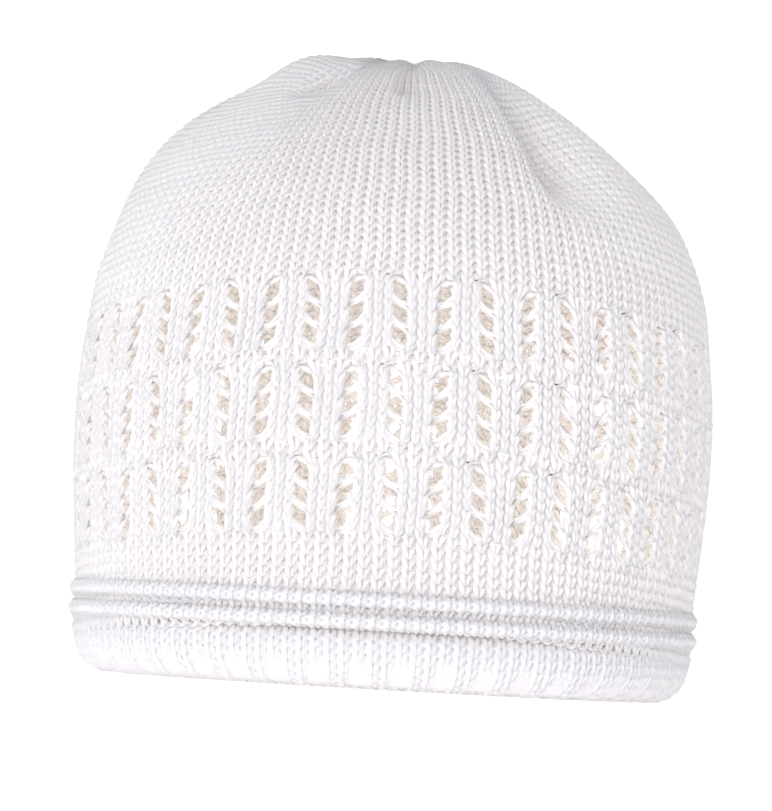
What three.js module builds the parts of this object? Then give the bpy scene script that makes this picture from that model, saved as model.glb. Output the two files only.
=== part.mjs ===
// A knitted sleeping cap in white cotton: a round body with a gathered crown and an openwork
// lace band, two rolled welts below it, and a brim whose hem turns in under itself.
// Millimetres, +Z up. The cap stands on its hem at z = 0, with the origin in the middle of the
// opening. The front faces -Y and the wearer's left side is +X.
import * as THREE from "three";

// Driving sizes
const capWidth = 172; // outside, at the fullest part
const capDepth = 182; // front to back there
const shoulderHeight = 101.4; // where the sides start to close in
const crownRise = 67.8; // from there to the highest puff
const laceBandHeight = 68; // at the front, as the next one
const plainBandHeight = 11.4; // stocking stitch between the lace and the welts
const weltHeight = 5;
const weltReach = 1.8; // how far a welt stands out from the body
const brimHeight = 14;
const brimTurnIn = 13; // how far the hem turns in under the brim
const knitWall = 2.2; // one layer of knitting
const pieceGap = 0.3;

const laceColumns = 48; // alternate columns lean left and right
const laceTiers = 3;
const slotLength = 16.5; // three eyelets in a row
const slotWidth = 3.6;
const slotEndWidth = 1.6;
const slotSlant = 1.8; // how far a slot's top leans past its foot
const laceFootSag = 6; // how much lower than at the front the lace starts at the sides
const laceTopSag = 9; // and how much lower it ends there
const foldDepth = 9; // the deepest fold of the crown
const pitDepth = 9; // how far the gather sinks below the puffs
const pleatCount = 12; // small pleats around the gather
const pleatDepth = 0.8;
const scallopDepth = 1.1; // notches along the hem, one for each lace column

const halfWidth = capWidth / 2;
const halfDepth = capDepth / 2;
const hemWidth = 0.967; // a share of the cap's width
const crownColumns = laceColumns; // points around the crown, half as many as around the lace
const crownRows = 15;
const crownRowCrowding = 1.2; // over 1, the crown's rows come closer together near the gather
const lowerWeltFoot = brimHeight + pieceGap;
const upperWeltFoot = lowerWeltFoot + weltHeight + pieceGap;
const bodyFoot = upperWeltFoot + weltHeight + pieceGap;
const laceTop = plainBandHeight + laceBandHeight; // above the body's foot, along the knitting

// The body's outline from its foot to the shoulder.
// up is a share of that height, wide a share of the cap's half width.
const sideOutline = [
  { up: 0, wide: hemWidth },
  { up: 0.2, wide: 0.983 },
  { up: 0.38, wide: 0.995 },
  { up: 0.56, wide: 1 },
  { up: 0.74, wide: 0.995 },
  { up: 0.9, wide: 0.979 },
];

// The crown's outline above the shoulder. up is a share of the crown's rise.
const crownOutline = [
  { up: 0.04, wide: 0.964 },
  { up: 0.15, wide: 0.942 },
  { up: 0.27, wide: 0.906 },
  { up: 0.4, wide: 0.852 },
  { up: 0.53, wide: 0.776 },
  { up: 0.67, wide: 0.668 },
  { up: 0.79, wide: 0.548 },
  { up: 0.89, wide: 0.418 },
  { up: 0.955, wide: 0.3 },
  { up: 0.99, wide: 0.215 },
  { up: 1, wide: 0.15 },
];

// The gather at the top: down is a share of the pit's depth.
const pitOutline = [
  { down: 0.12, wide: 0.1 },
  { down: 0.5, wide: 0.062 },
  { down: 0.88, wide: 0.035 },
  { down: 1, wide: 0 },
];

// Folds that run down from the gather. turn is degrees from the front towards +X. sink is a share
// of foldDepth, below 0 where the knitting puffs out. before and after are the fold's half widths
// in degrees on the sides of lesser and greater turn. low, deep and high are the shares of the
// crown's arc where it starts, is deepest and has run out.
const folds = [
  { turn: 34, sink: 1.3, before: 5, after: 12, low: 0.14, deep: 0.38, high: 0.74 },
  { turn: -34, sink: 1.3, before: 7, after: 4.5, low: 0.5, deep: 0.62, high: 0.76 },
  { turn: -8, sink: 0.25, before: 22, after: 24, low: 0.62, deep: 0.78, high: 0.9 },
  { turn: -3, sink: 0.4, before: 3.5, after: 6, low: 0.5, deep: 0.6, high: 0.74 },
  { turn: -66, sink: -0.4, before: 15, after: 15, low: 0.52, deep: 0.71, high: 0.86 },
  { turn: -100, sink: -0.65, before: 30, after: 24, low: 0.08, deep: 0.4, high: 0.88 },
  { turn: 86, sink: 0.7, before: 20, after: 24, low: 0.2, deep: 0.6, high: 0.95 },
  { turn: 128, sink: 0.6, before: 10, after: 16, low: 0.25, deep: 0.6, high: 0.93 },
  { turn: 178, sink: 0.42, before: 22, after: 24, low: 0.35, deep: 0.78, high: 0.98 },
  { turn: 222, sink: 0.62, before: 10, after: 17, low: 0.22, deep: 0.58, high: 0.93 },
];

// A welt's rolled outside, from its foot up. out is a share of weltReach.
const weltOutside = [
  { out: -0.5, up: 0 },
  { out: 0.55, up: 0.14 },
  { out: 1, up: 0.5 },
  { out: 0.55, up: 0.86 },
  { out: -0.5, up: 1 },
];

// The brim's section. in is a share of brimTurnIn measured inwards from the brim's side, and up a
// share of the brim's height. notch says how much of scallopDepth a scallop takes there.
const brimOutside = [
  { in: 0.05, up: 1, notch: 0 },
  { in: 0, up: 0.66, notch: 0.2 },
  { in: 0.1, up: 0.33, notch: 0.6 },
  { in: 0.34, up: 0.09, notch: 1 },
  { in: 0.58, up: 0, notch: 0.8 },
];
const brimInside = [
  { in: 0.68, up: 0 },
  { in: 0.9, up: 0 },
  { in: 1, up: 0.1 },
  { in: 0.97, up: 0.25 },
  { in: 0.72, up: 0.36 },
  { in: 0.32, up: 0.62 },
  { in: 0.32, up: 1 },
];

const radians = Math.PI / 180;
const clamp01 = (x) => Math.min(1, Math.max(0, x));
const smooth = (x) => clamp01(x) ** 2 * (3 - 2 * clamp01(x));

// Rises from 0 at low to 1 at deep and falls back to 0 at high.
function swell(x, low, deep, high) {
  return x < deep ? smooth((x - low) / (deep - low)) : smooth((high - x) / (high - deep));
}

const bodyOutline = new THREE.SplineCurve([
  ...sideOutline.map((row) => new THREE.Vector2(
    row.wide, bodyFoot + row.up * (shoulderHeight - bodyFoot))),
  ...crownOutline.map((row) => new THREE.Vector2(row.wide, shoulderHeight + row.up * crownRise)),
  ...pitOutline.map((row) => new THREE.Vector2(
    row.wide, shoulderHeight + crownRise - row.down * pitDepth)),
]);

// Arc length along the outline in millimetres, taken at the cap's side.
const outlineSteps = 400;
const outlineTable = bodyOutline.getPoints(outlineSteps).reduce((table, p) => {
  const last = table[table.length - 1];
  const step = last ? Math.hypot((p.x - last.wide) * halfWidth, p.y - last.z) : 0;
  return [...table, { wide: p.x, z: p.y, arc: (last ? last.arc : 0) + step }];
}, []);
const bodyArc = outlineTable[outlineSteps].arc;
const crownStart = outlineTable.find((row) => row.z >= shoulderHeight).arc;

function outlineAt(arc) {
  const i = Math.max(1, outlineTable.findIndex((row) => row.arc >= Math.min(arc, bodyArc)));
  const a = outlineTable[i - 1];
  const b = outlineTable[i];
  const t = clamp01((arc - a.arc) / (b.arc - a.arc));
  return { wide: a.wide + t * (b.wide - a.wide), z: a.z + t * (b.z - a.z) };
}

function onOval(turn, wide, z, inwards = 0) {
  const x = (halfWidth * wide - inwards) * Math.sin(turn);
  return new THREE.Vector3(x, -(halfDepth * wide - inwards) * Math.cos(turn), z);
}

function foldSink(turn, arc) {
  const along = (arc - crownStart) / (bodyArc - crownStart);
  let sink = 0;
  for (const fold of folds) {
    const away = Math.atan2(
      Math.sin(turn - fold.turn * radians), Math.cos(turn - fold.turn * radians)) / radians;
    const share = away / (away < 0 ? fold.before : fold.after);
    sink += foldDepth * fold.sink * Math.exp(-share * share)
      * swell(along, fold.low, fold.deep, fold.high);
  }
  const pleat = pleatDepth * (0.5 + 0.5 * Math.cos(turn * pleatCount));
  return sink + pleat * swell(along, 0.7, 0.88, 0.99);
}

// How much lower a row of stitches runs at the sides. row is its height above the foot at the
// front, along the knitting.
function sagAt(row) {
  if (row < plainBandHeight) return laceFootSag * row / plainBandHeight;
  if (row < laceTop)
    return laceFootSag + (laceTopSag - laceFootSag) * (row - plainBandHeight) / laceBandHeight;
  return laceTopSag * (bodyArc - row) / (bodyArc - laceTop);
}

// A point of the body in a row of stitches, depth millimetres under its outer surface.
function bodyPoint(turn, row, depth) {
  const step = 0.5;
  const arc = row - sagAt(row) * Math.sin(turn) ** 2;
  const { wide, z } = outlineAt(arc);
  const lower = outlineAt(arc - step);
  const upper = outlineAt(arc + step);
  const tangent = new THREE.Vector2(
    (upper.wide - lower.wide) * halfWidth, upper.z - lower.z).normalize();
  const outwards = new THREE.Vector3(
    tangent.y * Math.sin(turn), -tangent.y * Math.cos(turn), -tangent.x);
  return onOval(turn, wide, z).addScaledVector(outwards, -depth - foldSink(turn, arc));
}

// A mesh that collects rings and the faces between them.
class Skin {
  points = [];
  faces = [];
  ring(points) {
    return points.map((p) => this.points.push(p) - 1);
  }
  quad(a, b, c, d) {
    this.faces.push(a, b, c, a, c, d);
  }
  // Faces between two rings of the same count, or of twice the count below.
  bridge(low, high, isOpen = () => false) {
    const n = high.length;
    for (let i = 0; i < n; i++) {
      const next = (i + 1) % n;
      if (low.length === n) {
        if (!isOpen(i)) this.quad(low[i], low[next], high[next], high[i]);
      } else {
        const middle = low[2 * i + 1];
        this.faces.push(low[2 * i], middle, high[i], middle, high[next], high[i],
          middle, low[(2 * i + 2) % low.length], high[next]);
      }
    }
  }
  geometry() {
    const made = new THREE.BufferGeometry().setFromPoints(this.points);
    made.setIndex(this.faces);
    made.computeVertexNormals();
    return made;
  }
}

// Rows of the body from its foot up, as { height, gap, slant }: gap is a slot's width at this row,
// and slant runs from -1 at a slot's foot to 1 at its top.
function laceRows() {
  const tierHeight = laceBandHeight / laceTiers;
  const rows = [{ height: 0 }, { height: plainBandHeight / 2 }];
  for (let tier = 0; tier < laceTiers; tier++) {
    const middle = plainBandHeight + (tier + 0.5) * tierHeight;
    for (const slant of [-1, 0, 1])
      rows.push({
        height: middle + slant * slotLength / 2,
        gap: slant === 0 ? slotWidth : slotEndWidth,
        slant,
      });
  }
  rows.push({ height: laceTop });
  return rows;
}

// Two points for each lace column, on the slot's left and right side.
function laceRing(row, depth) {
  const pitch = 2 * Math.PI / laceColumns;
  const points = [];
  for (let column = 0; column < laceColumns; column++) {
    const lean = column % 2 ? 1 : -1;
    const middle = column * pitch + lean * (row.slant ?? 0) * slotSlant / 2 / halfWidth;
    const half = row.gap ? row.gap / 2 / halfWidth : pitch / 4;
    for (const turn of [middle - half, middle + half])
      points.push(bodyPoint(turn, row.height, depth));
  }
  return points;
}

function crownRing(height, depth) {
  const pitch = 2 * Math.PI / crownColumns;
  return Array.from(
    { length: crownColumns }, (_, i) => bodyPoint((i - 0.25) * pitch, height, depth));
}

function knitBody() {
  const skin = new Skin();
  const rows = laceRows();
  const crownHeights = Array.from({ length: crownRows }, (_, i) => {
    const left = 1 - (i + 1) / (crownRows + 1);
    return bodyArc - (bodyArc - laceTop) * left ** crownRowCrowding;
  });
  const surfaces = [0, knitWall].map((depth) => ({
    lace: rows.map((row) => skin.ring(laceRing(row, depth))),
    crown: crownHeights.map((height) => skin.ring(crownRing(height, depth))),
    apex: skin.ring([bodyPoint(0, bodyArc, depth).setX(0).setY(0)])[0],
  }));
  const outer = surfaces[0];
  const slotAt = (row, i) => i % 2 === 0 && rows[row].slant < 1;
  for (const surface of surfaces) {
    const start = skin.faces.length;
    for (let row = 1; row < rows.length; row++)
      skin.bridge(surface.lace[row - 1], surface.lace[row], (i) => slotAt(row - 1, i));
    skin.bridge(surface.lace[rows.length - 1], surface.crown[0]);
    for (let row = 1; row < crownRows; row++)
      skin.bridge(surface.crown[row - 1], surface.crown[row]);
    const last = surface.crown[crownRows - 1];
    last.forEach((p, i) => skin.faces.push(p, last[(i + 1) % last.length], surface.apex));
    if (surface !== outer) reverse(skin.faces, start);
  }
  closeSlots(skin, surfaces, rows, slotAt);
  skin.bridge(surfaces[1].lace[0], outer.lace[0]);
  return skin.geometry();
}

// Turns round the faces from start on.
function reverse(faces, start) {
  for (let i = start; i < faces.length; i += 3)
    [faces[i + 1], faces[i + 2]] = [faces[i + 2], faces[i + 1]];
}

// The walls of the slots, between the outer and the inner surface.
function closeSlots(skin, [outer, inner], rows, slotAt) {
  for (let row = 0; row + 1 < rows.length; row++)
    for (let i = 0; i < 2 * laceColumns; i += 2) {
      if (!slotAt(row, i)) continue;
      const wall = (rowA, iA, rowB, iB) => skin.quad(outer.lace[rowA][iA], outer.lace[rowB][iB],
        inner.lace[rowB][iB], inner.lace[rowA][iA]);
      wall(row + 1, i, row, i);
      wall(row, i + 1, row + 1, i + 1);
      if (rows[row].slant < 0) wall(row, i, row, i + 1);
      if (rows[row].slant === 0) wall(row + 1, i + 1, row + 1, i);
    }
}

// A closed ring. sectionAt gives the section's points at a turn, its outside from the foot up.
function loftedRing(count, sectionAt) {
  const skin = new Skin();
  const turns = Array.from({ length: count }, (_, i) => 2 * Math.PI * i / count);
  const sections = turns.map((turn, i) => skin.ring(sectionAt(turn, i)));
  sections.forEach((section, i) => {
    const next = sections[(i + 1) % count];
    section.forEach((p, j) => {
      const k = (j + 1) % section.length;
      skin.quad(p, next[j], next[k], section[k]);
    });
  });
  return skin.geometry();
}

// A welt is a roll of knitting: round outside, flat against the head.
function welt(foot) {
  return loftedRing(laceColumns, (turn) => [
    ...weltOutside.map((row) =>
      onOval(turn, hemWidth, foot + row.up * weltHeight, -row.out * weltReach)),
    ...[1, 0].map((up) => onOval(turn, hemWidth, foot + up * weltHeight, knitWall)),
  ]);
}

// The brim hangs down, curls in and stands on its hem. Its outside is notched by scallops.
function brim() {
  return loftedRing(2 * laceColumns, (turn, i) => {
    const outside = brimOutside.map((row) => {
      const lift = i % 2 ? row.notch * scallopDepth : 0;
      return onOval(turn, hemWidth, row.up * brimHeight + lift, row.in * brimTurnIn + lift / 2);
    });
    const inside = brimInside.map((row) =>
      onOval(turn, hemWidth, row.up * brimHeight, row.in * brimTurnIn));
    return [...outside, ...inside].reverse();
  });
}

function knitted(name, geometry, colour) {
  const material = new THREE.MeshStandardMaterial({ color: colour, roughness: 0.95, metalness: 0 });
  const mesh = new THREE.Mesh(geometry, material);
  mesh.name = name;
  return mesh;
}

const cap = new THREE.Group();
cap.add(knitted("knit_body", knitBody(), 0xf4f1ec));
cap.add(knitted("upper_welt", welt(upperWeltFoot), 0xf6f4f0));
cap.add(knitted("lower_welt", welt(lowerWeltFoot), 0xf6f4f0));
cap.add(knitted("brim", brim(), 0xf5f2ee));

export default cap;
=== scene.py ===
import math

import bmesh
import bpy
import numpy as np
from mathutils import Matrix, Vector


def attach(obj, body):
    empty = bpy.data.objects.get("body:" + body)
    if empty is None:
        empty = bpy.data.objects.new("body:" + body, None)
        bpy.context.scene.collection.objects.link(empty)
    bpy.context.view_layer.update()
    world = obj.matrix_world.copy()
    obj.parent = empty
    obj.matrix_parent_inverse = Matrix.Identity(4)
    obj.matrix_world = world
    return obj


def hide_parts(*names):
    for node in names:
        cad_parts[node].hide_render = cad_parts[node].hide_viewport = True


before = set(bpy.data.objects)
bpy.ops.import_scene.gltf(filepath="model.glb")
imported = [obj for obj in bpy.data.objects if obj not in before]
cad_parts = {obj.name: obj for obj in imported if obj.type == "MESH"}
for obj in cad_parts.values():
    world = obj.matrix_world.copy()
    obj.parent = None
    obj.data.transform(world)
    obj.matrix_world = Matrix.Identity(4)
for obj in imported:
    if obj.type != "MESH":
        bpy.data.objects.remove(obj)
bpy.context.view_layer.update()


# Studio. White paper on a table that is lit from below, one wide softbox in front, and white
# walls all round. The camera stands just above the table top and looks slightly up at the cap's
# front, leaning a little as the picture does.

CAMERA_DISTANCE = 0.9
CAMERA_HEIGHT = 0.012
CAMERA_LEAN = math.radians(3.3)
AIM = Vector((-0.0024, 0, 0.0762))
LENS = 147.3
PAPER_HALF = 3.0
PAPER_GLOW = 0.5
PULP_FLOCK_MM = 1.1


def turn_towards(thing, target):
    thing.rotation_euler = (target - thing.location).to_track_quat("-Z", "Y").to_euler()


camera = bpy.data.objects.new("camera", bpy.data.cameras.new("camera"))
bpy.context.collection.objects.link(camera)
bpy.context.scene.camera = camera
camera.location = (0, -CAMERA_DISTANCE, CAMERA_HEIGHT)
turn_towards(camera, AIM)
camera.rotation_euler = (
    camera.rotation_euler.to_matrix() @ Matrix.Rotation(CAMERA_LEAN, 3, "Z")).to_euler()
camera.data.lens = LENS
camera.data.clip_start = 0.01

# White yarn passes light on many times before it is lost, so the light may bounce often.
scene = bpy.context.scene
scene.view_settings.view_transform = "Standard"
scene.cycles.diffuse_bounces = 12
scene.cycles.transmission_bounces = 10
scene.cycles.max_bounces = 16


def linear(hex_colour):
    """An sRGB hex colour as linear red, green, blue and alpha."""
    shares = [int(hex_colour[i:i + 2], 16) / 255 for i in (1, 3, 5)]
    return [c / 12.92 if c <= 0.04045 else ((c + 0.055) / 1.055) ** 2.4 for c in shares] + [1]


def add_node(tree, kind, settings=None, inputs=None):
    """A node with its settings, and its inputs as values or as another node's output."""
    node = tree.nodes.new(kind)
    for key, value in (settings or {}).items():
        setattr(node, key, value)
    for key, value in (inputs or {}).items():
        if isinstance(value, bpy.types.NodeSocket):
            tree.links.new(value, node.inputs[key])
        else:
            node.inputs[key].default_value = value
    return node


def new_material(name):
    material = bpy.data.materials.new(name)
    material.use_nodes = True
    material.node_tree.nodes.clear()
    return material


def matt_paper():
    """Uncoated white paper, pressed from pulp: matt and even, with a grain that is only just
    there, and a little light coming through it from the table."""
    material = new_material("matt_paper")
    tree = material.node_tree
    coords = add_node(tree, "ShaderNodeTexCoord")
    pulp = add_node(tree, "ShaderNodeTexNoise", inputs={
        "Vector": coords.outputs["Object"], "Scale": 1000 / PULP_FLOCK_MM})
    surface = add_node(tree, "ShaderNodeBump", inputs={
        "Height": pulp.outputs["Fac"], "Strength": 0.03, "Distance": 0.0002})
    paper = add_node(tree, "ShaderNodeBsdfPrincipled", inputs={
        "Base Color": linear("#fcfcfc"), "Roughness": 0.95, "Normal": surface.outputs["Normal"],
        "Emission Color": linear("#ffffff"), "Emission Strength": PAPER_GLOW})
    add_node(tree, "ShaderNodeOutputMaterial", inputs={"Surface": paper.outputs["BSDF"]})
    return material


def new_piece(name, bm, material):
    mesh = bpy.data.meshes.new(name)
    bm.to_mesh(mesh)
    bm.free()
    mesh.materials.append(material)
    piece = bpy.data.objects.new(name, mesh)
    bpy.context.collection.objects.link(piece)
    return piece


bm = bmesh.new()
bmesh.ops.create_grid(bm, x_segments=1, y_segments=1, size=PAPER_HALF)
paper_sweep = new_piece("paper_sweep", bm, matt_paper())


def add_lamp(name, kind, place, watts, colour):
    lamp = bpy.data.objects.new(name, bpy.data.lights.new(name, kind))
    lamp.data.energy = watts
    lamp.data.color = linear(colour)[:3]
    lamp.location = place
    bpy.context.collection.objects.link(lamp)
    return lamp


SOFTBOX_PLACE = (-0.5, -1.5, 0.14)
SOFTBOX_SIZE = 0.9
SOFTBOX_WATTS = 16.5
CAP_MIDDLE = Vector((0, 0, 0.08))
key_softbox = add_lamp("key_softbox", "AREA", SOFTBOX_PLACE, SOFTBOX_WATTS, "#fbfcff")
key_softbox.data.size = SOFTBOX_SIZE
turn_towards(key_softbox, CAP_MIDDLE)

# A warm glow inside the cap stands in for the light that comes up through its open mouth when
# it isn't on a table.
GLOW_PLACE = (0, 0, 0.07)
GLOW_RADIUS = 0.03
GLOW_WATTS = 0.17
inner_glow = add_lamp("inner_glow", "POINT", GLOW_PLACE, GLOW_WATTS, "#fff3da")
inner_glow.data.shadow_soft_size = GLOW_RADIUS
inner_glow.visible_camera = False

# The walls are brightest low down, and the ceiling is dimmer.
WALL_BRIGHTNESS = 1.4
CEILING_BRIGHTNESS = 0.8
WALL_RISE = 0.05
CEILING_RISE = 0.7
room = bpy.data.worlds.new("white_room")
scene.world = room
room.use_nodes = True
tree = room.node_tree
tree.nodes.clear()
direction = add_node(tree, "ShaderNodeSeparateXYZ", inputs={
    0: add_node(tree, "ShaderNodeTexCoord").outputs["Generated"]})
brightness = add_node(tree, "ShaderNodeMapRange", inputs={
    "Value": direction.outputs["Z"], "From Min": WALL_RISE, "From Max": CEILING_RISE,
    "To Min": WALL_BRIGHTNESS, "To Max": CEILING_BRIGHTNESS})
walls = add_node(tree, "ShaderNodeBackground", inputs={
    "Color": linear("#fbfcff"), "Strength": brightness.outputs["Result"]})
add_node(tree, "ShaderNodeOutputWorld", inputs={"Surface": walls.outputs["Background"]})


# Knitted body. One layer of combed white cotton, knitted in the round: stocking stitch, an
# openwork band of three tiers of eyelets, and a crown drawn together at the top. Its shape is
# that of the body's solid, worked out again from the same sizes, and each loop of yarn lies on it.

CAP_HALF_WIDTH = 0.086
CAP_HALF_DEPTH = 0.091
BODY_FOOT = 0.0249
PLAIN_BAND = 0.0114
LACE_BAND = 0.068
LACE_TOP = PLAIN_BAND + LACE_BAND
LACE_FOOT_SAG = 0.006
LACE_TOP_SAG = 0.009
SHOULDER_HEIGHT = 0.1014
CROWN_RISE = 0.0678
PIT_DEPTH = 0.009
FOLD_DEPTH = 0.009
PLEATS = 12
PLEAT_DEPTH = 0.0008
PLEAT_REACH = (0.7, 0.88, 0.99)
HEM_WIDTH = 0.967
BODY_STEPS = 400

SIDE_OUTLINE = [
    # share of the height up to the shoulder, share of the half width
    (0, HEM_WIDTH),
    (0.2, 0.983),
    (0.38, 0.995),
    (0.56, 1),
    (0.74, 0.995),
    (0.9, 0.979),
]
CROWN_OUTLINE = [
    # share of the crown's rise, share of the half width
    (0.04, 0.964),
    (0.15, 0.942),
    (0.27, 0.906),
    (0.4, 0.852),
    (0.53, 0.776),
    (0.67, 0.668),
    (0.79, 0.548),
    (0.89, 0.418),
    (0.955, 0.3),
    (0.99, 0.215),
    (1, 0.15),
]
PIT_OUTLINE = [
    # share of the pit's depth, share of the half width
    (0.12, 0.1),
    (0.5, 0.062),
    (0.88, 0.035),
    (1, 0),
]
FOLDS = [
    # degrees from the front, share of the fold depth, half widths in degrees on its two sides,
    # and the shares of the crown's arc where it starts, is deepest and has run out
    (34, 1.3, 5, 12, 0.14, 0.38, 0.74),
    (-34, 1.3, 7, 4.5, 0.5, 0.62, 0.76),
    (-8, 0.25, 22, 24, 0.62, 0.78, 0.9),
    (-3, 0.4, 3.5, 6, 0.5, 0.6, 0.74),
    (-66, -0.4, 15, 15, 0.52, 0.71, 0.86),
    (-100, -0.65, 30, 24, 0.08, 0.4, 0.88),
    (86, 0.7, 20, 24, 0.2, 0.6, 0.95),
    (128, 0.6, 10, 16, 0.25, 0.6, 0.93),
    (178, 0.42, 22, 24, 0.35, 0.78, 0.98),
    (222, 0.62, 10, 17, 0.22, 0.58, 0.93),
]


def smooth(x):
    x = np.clip(x, 0, 1)
    return x * x * (3 - 2 * x)


def swell(x, low, deep, high):
    """Rises from 0 at low to 1 at deep and falls back to 0 at high."""
    return np.where(x < deep, smooth((x - low) / (deep - low)), smooth((high - x) / (high - deep)))


def spline(points, steps):
    """A smooth line through the points, evenly stepped between each two."""
    p = np.array([points[0]] + points + [points[-1]], dtype=float)
    t = np.linspace(0, len(points) - 1, steps + 1)
    i = np.minimum(t.astype(int), len(points) - 2)
    t = (t - i)[:, None]
    before, start, end, after = p[i], p[i + 1], p[i + 2], p[i + 3]
    leave = (end - before) / 2
    arrive = (after - start) / 2
    return ((2 * start - 2 * end + leave + arrive) * t ** 3
            + (3 * end - 3 * start - 2 * leave - arrive) * t ** 2 + leave * t + start)


def measured(outline):
    """The outline, its length from the first point to each point, and its direction there."""
    x, z = outline[:, 0], outline[:, 1]
    length = np.concatenate([[0], np.cumsum(np.hypot(np.diff(x), np.diff(z)))])
    slope_x, slope_z = np.gradient(x, length), np.gradient(z, length)
    size = np.hypot(slope_x, slope_z)
    return x, z, length, slope_x / size, slope_z / size


body_outline = spline(
    [(w * CAP_HALF_WIDTH, BODY_FOOT + up * (SHOULDER_HEIGHT - BODY_FOOT))
     for up, w in SIDE_OUTLINE]
    + [(w * CAP_HALF_WIDTH, SHOULDER_HEIGHT + up * CROWN_RISE) for up, w in CROWN_OUTLINE]
    + [(w * CAP_HALF_WIDTH, SHOULDER_HEIGHT + CROWN_RISE - down * PIT_DEPTH)
       for down, w in PIT_OUTLINE], BODY_STEPS)
outline_x, outline_z, outline_arc, outline_dx, outline_dz = measured(body_outline)
BODY_ARC = outline_arc[-1]
CROWN_START = outline_arc[np.argmax(outline_z >= SHOULDER_HEIGHT)]


def turned_from(turn, degrees):
    """Degrees from a fold's line to a turn, the short way round."""
    away = turn - math.radians(degrees)
    return np.degrees(np.arctan2(np.sin(away), np.cos(away)))


def fold_sink(turn, along):
    """How deep the folds are at a turn, at a share of the crown's arc."""
    sink = PLEAT_DEPTH * (0.5 + 0.5 * np.cos(turn * PLEATS)) * swell(along, *PLEAT_REACH)
    for at, depth, before, after, low, deep, high in FOLDS:
        away = turned_from(turn, at)
        share = away / np.where(away < 0, before, after)
        sink += FOLD_DEPTH * depth * np.exp(-share * share) * swell(along, low, deep, high)
    return sink


DRAW = 0.62
DRAW_WIDTH_DEGREES = 27


def drawn_in(turn, along):
    """Each fold draws the wales beside it into itself, and the others stay nearly upright."""
    for at, depth, *_, runs_out in FOLDS:
        away = turned_from(turn, at)
        share = away / DRAW_WIDTH_DEGREES
        pull = DRAW * min(max(depth, 0), 1) * smooth(along / runs_out)
        turn = turn - np.radians(away) * pull * np.exp(-share * share)
    return turn


KNIT_INSET = 0.001  # from the solid's face to the middle of the yarn


def on_body(turn, row, out):
    """Points of the body at a turn, in the row of stitches that is row above the foot at the
    front and sags lower at the sides, and out from the middle of the knitting."""
    sag = np.interp(row, (PLAIN_BAND, LACE_TOP, BODY_ARC), (LACE_FOOT_SAG, LACE_TOP_SAG, 0))
    arc = row - sag * np.sin(turn) ** 2
    along = (arc - CROWN_START) / (BODY_ARC - CROWN_START)
    turn = drawn_in(turn, along)
    x, z, dx, dz = (np.interp(arc, outline_arc, values)
                    for values in (outline_x, outline_z, outline_dx, outline_dz))
    z = z + np.minimum(arc, 0)
    lift = out - KNIT_INSET - fold_sink(turn, along)
    wide = x / CAP_HALF_WIDTH
    return np.column_stack([
        (CAP_HALF_WIDTH * wide + lift * dz) * np.sin(turn),
        -(CAP_HALF_DEPTH * wide + lift * dz) * np.cos(turn),
        z - lift * dx])


# Wales are the upright columns of stitches and courses their rows. The lace band has three tiers
# of eight courses.
WALES = 144
WALE = 0.00375
TIERS = 3
TIER = 8
COURSE = LACE_BAND / (TIERS * TIER)
YARN_HALF = 0.00082
YARN_SIDES = 4
YARN_STEPS = 8
LOOP_SWING = 0.3  # wales
LOOP_REACH = 0.82  # courses
LOOP_DEPTH = 0.0006
LOOP_TILT = 0.0004
SEAM = 1e-6  # two points closer than this become one


def loop_of_yarn():
    """One stitch of yarn: up one leg of the loop, over its head and down the other. Its legs
    come forwards, and lie over the head of the loop below. Each point keeps its place beside
    the middle of the yarn and its share of the stitch."""
    bm = bmesh.new()
    bm.loops.layers.uv.new("yarn")
    beside = bm.verts.layers.float_vector.new("beside")
    share = bm.verts.layers.float.new("share")
    bmesh.ops.create_grid(
        bm, x_segments=YARN_STEPS, y_segments=YARN_SIDES, size=0.5, calc_uvs=True)

    def middle(s):
        return Vector((
            WALE * (s + LOOP_SWING * math.sin(4 * math.pi * s)),
            -COURSE * LOOP_REACH * math.cos(2 * math.pi * s),
            LOOP_TILT * math.cos(2 * math.pi * s) - LOOP_DEPTH * math.cos(4 * math.pi * s)))

    for v in bm.verts:
        s = v.co.x + 0.5
        around = 2 * math.pi * (v.co.y + 0.5)
        along = (middle(s + 0.01) - middle(s - 0.01)).normalized()
        side = along.cross(Vector((0, 0, 1))).normalized()
        front = side.cross(along)
        v[beside] = YARN_HALF * (math.cos(around) * side + math.sin(around) * front)
        v[share] = s
        v.co = middle(s) + v[beside]
    bmesh.ops.remove_doubles(bm, verts=bm.verts, dist=SEAM)
    bmesh.ops.recalc_face_normals(bm, faces=bm.faces)
    return bm


def take_attribute(mesh, name, kind, size):
    """A mesh's attribute, one row for each vertex, taken off the mesh."""
    values = np.empty(size * len(mesh.vertices))
    mesh.attributes[name].data.foreach_get(kind, values)
    mesh.attributes.remove(mesh.attributes[name])
    return values.reshape(-1, size).T


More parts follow.
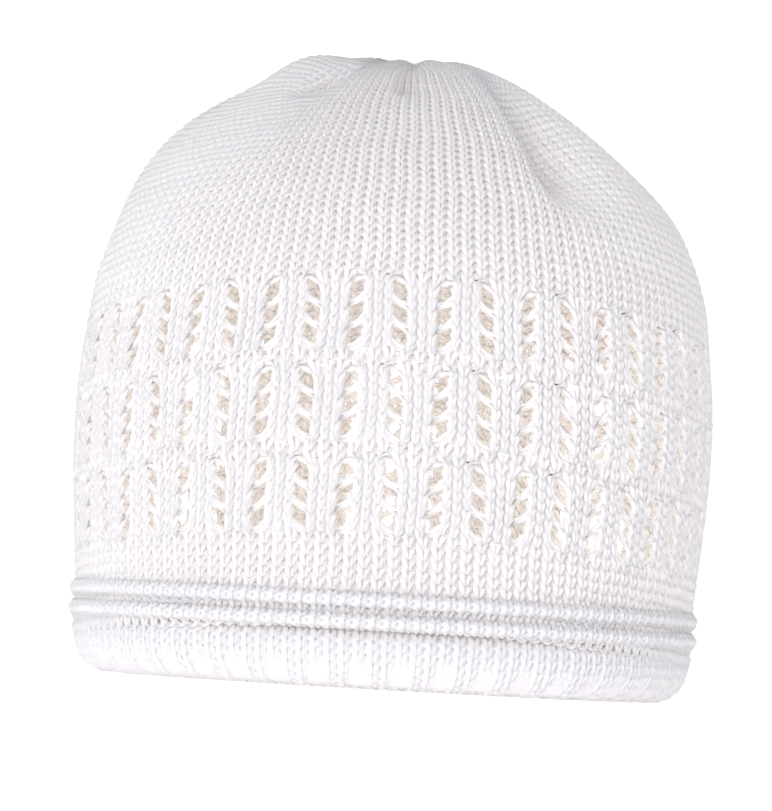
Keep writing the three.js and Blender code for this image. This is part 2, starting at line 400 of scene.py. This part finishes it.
def knit(name, bm, material, wales, courses, lay):
    """A fabric of wales by courses copies of a stitch. A function lays it on the cap, from the
    yarn's middle in wales, courses and metres, the place beside it in metres, and the share of
    the stitch."""
    piece = new_piece(name, bm, material)
    for label, count, step in (
            ("wales", wales, (WALE, 0, 0)), ("courses", courses, (0, COURSE, 0))):
        array = piece.modifiers.new(label, "ARRAY")
        array.count = count
        array.use_relative_offset = False
        array.use_constant_offset = True
        array.constant_offset_displace = step
        array.use_merge_vertices = label == "wales"
        array.merge_threshold = 10 * SEAM
    flat = piece.evaluated_get(bpy.context.evaluated_depsgraph_get())
    mesh = bpy.data.meshes.new_from_object(flat)
    piece.modifiers.clear()
    piece.data = mesh
    mesh.name = name
    places = np.empty(3 * len(mesh.vertices))
    mesh.vertices.foreach_get("co", places)
    beside = take_attribute(mesh, "beside", "vector", 3)
    share = take_attribute(mesh, "share", "value", 1)[0]
    x, y, z = places.reshape(-1, 3).T - beside
    mesh.vertices.foreach_set("co", lay(x / WALE, y / COURSE, z, beside, share).ravel())
    seam = bmesh.new()
    seam.from_mesh(mesh)
    bmesh.ops.remove_doubles(seam, verts=seam.verts, dist=SEAM)
    seam.to_mesh(mesh)
    seam.free()
    mesh.shade_smooth()
    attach(piece, "root")
    return piece


PLIES = 2
TWISTS = 5  # in the 16 mm of yarn of one stitch, so one twist to 3.2 mm
WAVES_IN_ONE = 10 / (2 * math.pi)  # bands that a wave texture of scale 1 lays across one unit
FIBRE_TUFT_MM = 0.4
SHADE_PATCH_MM = 16.7


def cotton_yarn(name, colour, shade):
    """Combed cotton, spun and twisted in two plies: white and soft, with a slight gloss along the
    fibres. Light shines through it, so that it has no deep shadows. The tufts of its fibres are
    drawn coarser than they are, because real ones are too fine to show."""
    material = new_material(name)
    tree = material.node_tree
    coords = add_node(tree, "ShaderNodeTexCoord")
    yarn = add_node(tree, "ShaderNodeUVMap", {"uv_map": "yarn"})
    twist = add_node(tree, "ShaderNodeMapping", inputs={
        "Vector": yarn.outputs["UV"], "Scale": (TWISTS / WAVES_IN_ONE, PLIES / WAVES_IN_ONE, 0)})
    plies = add_node(tree, "ShaderNodeTexWave", {"bands_direction": "DIAGONAL"}, inputs={
        "Vector": twist.outputs["Vector"], "Scale": 1})
    fibres = add_node(tree, "ShaderNodeTexNoise", inputs={
        "Vector": coords.outputs["Object"], "Scale": 1000 / FIBRE_TUFT_MM, "Detail": 2})
    relief = add_node(tree, "ShaderNodeMath", {"operation": "MULTIPLY_ADD"}, inputs={
        0: fibres.outputs["Fac"], 1: 0.5, 2: plies.outputs["Fac"]})
    surface = add_node(tree, "ShaderNodeBump", inputs={
        "Height": relief.outputs["Value"], "Strength": 0.5, "Distance": 0.0002})
    cloud = add_node(tree, "ShaderNodeTexNoise", inputs={
        "Vector": coords.outputs["Object"], "Scale": 1000 / SHADE_PATCH_MM, "Detail": 3})
    tint = add_node(tree, "ShaderNodeMix", {"data_type": "RGBA"}, inputs={
        "Factor": cloud.outputs["Fac"], "A": linear(shade), "B": linear(colour)})
    cotton = add_node(tree, "ShaderNodeBsdfPrincipled", inputs={
        "Base Color": tint.outputs["Result"], "Roughness": 0.65, "Specular IOR Level": 0.35,
        "Sheen Weight": 0.15, "Sheen Roughness": 0.5, "Normal": surface.outputs["Normal"]})
    glow = add_node(tree, "ShaderNodeBsdfTranslucent", inputs={
        "Color": tint.outputs["Result"], "Normal": surface.outputs["Normal"]})
    both = add_node(tree, "ShaderNodeMixShader", inputs={
        "Fac": 0.5, 1: cotton.outputs["BSDF"], 2: glow.outputs["BSDF"]})
    add_node(tree, "ShaderNodeOutputMaterial", inputs={"Surface": both.outputs["Shader"]})
    return material


COLUMN = 3  # wales from one column of eyelets to the next
COLUMN_HALF = COLUMN / 2
EYELET_HALF = 0.5  # wales
EYELETS_HALF_HEIGHT = 2.6  # courses, for the three of one tier
CROSSING_HALF = 0.5  # wales to each side in which a stitch crosses the eyelet
FOOT = 0.25  # share of a stitch at each end that runs across to the next one
LAST_FOOT = 0.13
STRAND_PULL = 0.85
STRAND_SLANT = 0.8
STRAND_REACH = 0.7  # wales
STRAND_THICK = 1.02  # shares of the yarn's thickness
STRIP_THICK = 0.92


def open_eyelets(x, y, share):
    """Moves the yarn aside for the eyelets: x in wales and y in courses above the lace's foot.
    Each third gap between wales has three eyelets in each tier. The yarn that crosses it is
    drawn into strands at every second course, which slant up to the right in every other
    column. Also gives how thick the yarn stays."""
    column = np.round(x / COLUMN)
    lean = np.where(column % 2 == 1, 1.0, -1.0)
    away = x - COLUMN * column
    middle = (np.clip(np.floor(y / TIER), 0, TIERS - 1) + 0.5) * TIER
    opened = 1 - smooth(np.abs(y - middle) - EYELETS_HALF_HEIGHT)
    foot = np.minimum(share, 1 - share)
    size = np.abs(away)
    between = size < CROSSING_HALF
    squeeze = (COLUMN_HALF - EYELET_HALF) / COLUMN_HALF
    strip = EYELET_HALF + size * squeeze
    strand = size * (EYELET_HALF / (FOOT + LOOP_SWING / 2) + squeeze)
    moved = np.where((foot < LAST_FOOT) & between, strand, strip)
    size = size + opened * (moved - size)
    away = np.sign(away) * size
    crossing = opened * (1 - smooth(foot / FOOT)) * between
    above = y - (2 * np.floor(y / 2) + 1)
    y = y - crossing * STRAND_PULL * above
    slant = 1 - smooth((size - STRAND_REACH) / STRAND_REACH)
    y = y + opened * lean * STRAND_SLANT * away * slant
    thick = 1 - opened * (1 - STRIP_THICK) - crossing * (STRIP_THICK - STRAND_THICK)
    return COLUMN * column + away, y, thick


WALE_ERROR = 0.05  # wales
COURSE_ERROR = 0.06  # courses
ROW_ERROR = 0.04  # courses


def uneven(x, y):
    """Small slow errors of tension, in wales and in courses. They close up after a round."""
    turn = 2 * math.pi * x / WALES
    dx = WALE_ERROR * np.sin(0.9 * y + 1.3 * np.sin(5 * turn))
    dy = COURSE_ERROR * np.sin(31 * turn + 0.7 * y) + ROW_ERROR * np.sin(1.9 * y)
    return x + dx, y + dy


def lay_on_body(x, y, z, beside, thick=1):
    x, y = uneven(x, y)
    beside_x, beside_y, beside_z = thick * beside
    turn = 2 * math.pi * (x + beside_x / WALE) / WALES
    return on_body(turn, y * COURSE + beside_y, z + beside_z)


PLAIN_COURSES = 4
HIDDEN_COURSES = 3  # below the body's foot, behind the upper welt


def lay_plain(x, y, z, beside, share):
    return lay_on_body(x, y - HIDDEN_COURSES + 0.5, z, beside)


def lay_tier(tier):
    def lay(x, y, z, beside, share):
        x, y, thick = open_eyelets(x, y + tier * TIER + 0.5, share)
        return lay_on_body(x, y + PLAIN_BAND / COURSE, z, beside, thick)
    return lay


CROWN_PARTS = ("crown_lower", "crown_middle", "crown_gather")
CROWN_PART_COURSES = 16
CROWN_COURSES = len(CROWN_PARTS) * CROWN_PART_COURSES
CROWN_COURSE = (BODY_ARC - LACE_TOP) / (CROWN_COURSES + 0.6)


def lay_crown(first):
    def lay(x, y, z, beside, share):
        row = (LACE_TOP + (y + first + 0.5) * CROWN_COURSE) / COURSE
        return lay_on_body(x, row, z, beside)
    return lay


body_yarn = cotton_yarn("white_cotton_yarn", "#fbfafb", "#f8f6f7")
body_pieces = [knit(
    "plain_band", loop_of_yarn(), body_yarn, WALES, PLAIN_COURSES + HIDDEN_COURSES, lay_plain)]
for tier in range(TIERS):
    body_pieces.append(knit(
        f"lace_tier_{tier + 1}", loop_of_yarn(), body_yarn, WALES, TIER, lay_tier(tier)))
for part, name in enumerate(CROWN_PARTS):
    body_pieces.append(knit(
        name, loop_of_yarn(), body_yarn, WALES, CROWN_PART_COURSES,
        lay_crown(part * CROWN_PART_COURSES)))
for piece in body_pieces:
    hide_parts("knit_body")


# Welts. Two tucks of the same cotton: a few courses folded over and knitted together, so that
# each one stands out as a soft round roll with its stitches going over it.

WELT_HEIGHT = 0.005
WELT_REACH = 0.0018
WELT_FEET = {"lower_welt": 0.0143, "upper_welt": 0.0196}
WELT_OUTLINE = [
    # how far out as a share of the reach, and up as a share of the height
    (-0.5, 0.02),
    (0.2, 0.03),
    (0.72, 0.16),
    (0.95, 0.34),
    (1, 0.5),
    (0.95, 0.66),
    (0.72, 0.84),
    (0.2, 0.97),
    (-0.5, 0.98),
]
WELT_STEPS = 60
WELT_COURSES = 3
WELT_INSET = 0.0009
WELT_LAYER_ROWS = 12
# Where the knitting is rolled, its yarn is pressed wide and its loops lie flatter.
ROLL_YARN = np.array([[1.35], [1.35], [0.95]])
ROLL_WAVE = 0.35


def on_hem(turn, x, z):
    """Points x out from the side of the brim and z above the table, at a turn."""
    return np.column_stack([
        (CAP_HALF_WIDTH * HEM_WIDTH + x) * np.sin(turn),
        -(CAP_HALF_DEPTH * HEM_WIDTH + x) * np.cos(turn),
        z + 0 * turn])


def section_point(section, along, out):
    """A point of a section, along it from 0 to 1 and out from it."""
    x, z, length, dx, dz = section
    x, z, dx, dz = (np.interp(along * length[-1], length, values) for values in (x, z, dx, dz))
    return x + out * dz, z - out * dx


def lay_welt(section, foot):
    def lay(x, y, z, beside, share):
        x, y = uneven(x, y)
        beside_x, beside_y, beside_z = ROLL_YARN * beside
        turn = 2 * math.pi * (x + beside_x / WALE) / WALES
        along = (y + 0.5) / WELT_COURSES + beside_y / section[2][-1]
        out, up = section_point(section, along, ROLL_WAVE * z + beside_z - KNIT_INSET)
        return on_hem(turn, out, foot + up)
    return lay


def inner_layer(name, section, foot, inset, rows, material):
    """The layer of knitting behind the stitches that show, a little inside them."""
    bm = bmesh.new()
    bm.loops.layers.uv.new("yarn")
    bmesh.ops.create_grid(bm, x_segments=WALES, y_segments=rows, size=0.5, calc_uvs=True)
    places = np.array([v.co for v in bm.verts])
    out, up = section_point(section, places[:, 1] + 0.5, -inset)
    placed = on_hem(2 * math.pi * places[:, 0], out, foot + up)
    for v, place in zip(bm.verts, placed):
        v.co = place
    bmesh.ops.remove_doubles(bm, verts=bm.verts, dist=SEAM)
    piece = new_piece(name, bm, material)
    piece.data.shade_smooth()
    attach(piece, "root")
    return piece


# The welts' copy of the cotton is a touch lighter than the body's yarn. This is painted light that
# lifts the welts out of their shade.
welt_yarn_painted_lighter = cotton_yarn("welt_cotton_painted_lighter", "#fcfbfc", "#faf8f9")
welt_section = measured(spline(
    [(out * WELT_REACH, up * WELT_HEIGHT) for out, up in WELT_OUTLINE], WELT_STEPS))
for node, foot in WELT_FEET.items():
    stitches = knit(f"{node}_stitches", loop_of_yarn(), welt_yarn_painted_lighter, WALES, WELT_COURSES,
                    lay_welt(welt_section, foot))
    roll = inner_layer(
        f"{node}_roll", welt_section, foot, WELT_INSET, WELT_LAYER_ROWS, welt_yarn_painted_lighter)
    for piece in (stitches, roll):
        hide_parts(node)


# Brim. A band of the same cotton, doubled and turned in under itself, so that two layers of
# knitting lie on each other. The lace's columns pull its lower edge into shallow scallops, and it
# is flat where it rests.

BRIM_HEIGHT = 0.014
BRIM_TURN_IN = 0.013
SCALLOP_DEPTH = 0.0011
BRIM_OUTLINE = [
    # in as a share of the turn-in, up as a share of the height, share of the scallops' depth
    (0.32, 1, 0),
    (0.32, 0.62, 0),
    (0.72, 0.36, 0),
    (0.97, 0.25, 0),
    (1, 0.1, 0),
    (0.9, 0, 0),
    (0.68, 0, 0),
    (0.58, 0, 0.8),
    (0.34, 0.09, 1),
    (0.1, 0.33, 0.6),
    (0, 0.66, 0.2),
    (0.04, 0.94, 0),
    (0.2, 1.12, 0),
]
BRIM_STEPS = 180
BRIM_COURSES = 14
BRIM_INSET = 0.0011
BRIM_LAYER_INSET = 0.0011
BRIM_LAYER_ROWS = 48
TABLE_GAP = 0.0001

brim_section = measured(spline(
    [(-depth * BRIM_TURN_IN, up * BRIM_HEIGHT) for depth, up, notch in BRIM_OUTLINE],
    BRIM_STEPS))
brim_notch = spline([(notch, 0) for depth, up, notch in BRIM_OUTLINE], BRIM_STEPS)[:, 0]


def lay_brim(x, y, z, beside, share):
    x, y = uneven(x, y)
    beside_x, beside_y, beside_z = ROLL_YARN * beside
    turn = 2 * math.pi * (x + beside_x / WALE) / WALES
    length = brim_section[2]
    along = (y + 0.5) / BRIM_COURSES + beside_y / length[-1]
    out, up = section_point(brim_section, along, ROLL_WAVE * z + beside_z - BRIM_INSET)
    notch = np.interp(along * length[-1], length, brim_notch)
    lift = SCALLOP_DEPTH * notch * (0.5 - 0.5 * np.cos(turn * WALES / COLUMN))
    return on_hem(turn, out - lift / 2, np.maximum(up + lift, TABLE_GAP))


# The brim's copy of the cotton is a touch lighter than the body's yarn. This is painted light that
# lifts the brim out of the shade near the table.
brim_yarn_painted_lighter = cotton_yarn("brim_cotton_painted_lighter", "#fcfbfc", "#faf8f9")
brim = knit("turned_in_brim", loop_of_yarn(), brim_yarn_painted_lighter, WALES, BRIM_COURSES, lay_brim)
layer = inner_layer(
    "brim_layer", brim_section, 0, BRIM_LAYER_INSET, BRIM_LAYER_ROWS, brim_yarn_painted_lighter)
for piece in (brim, layer):
    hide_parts("brim")
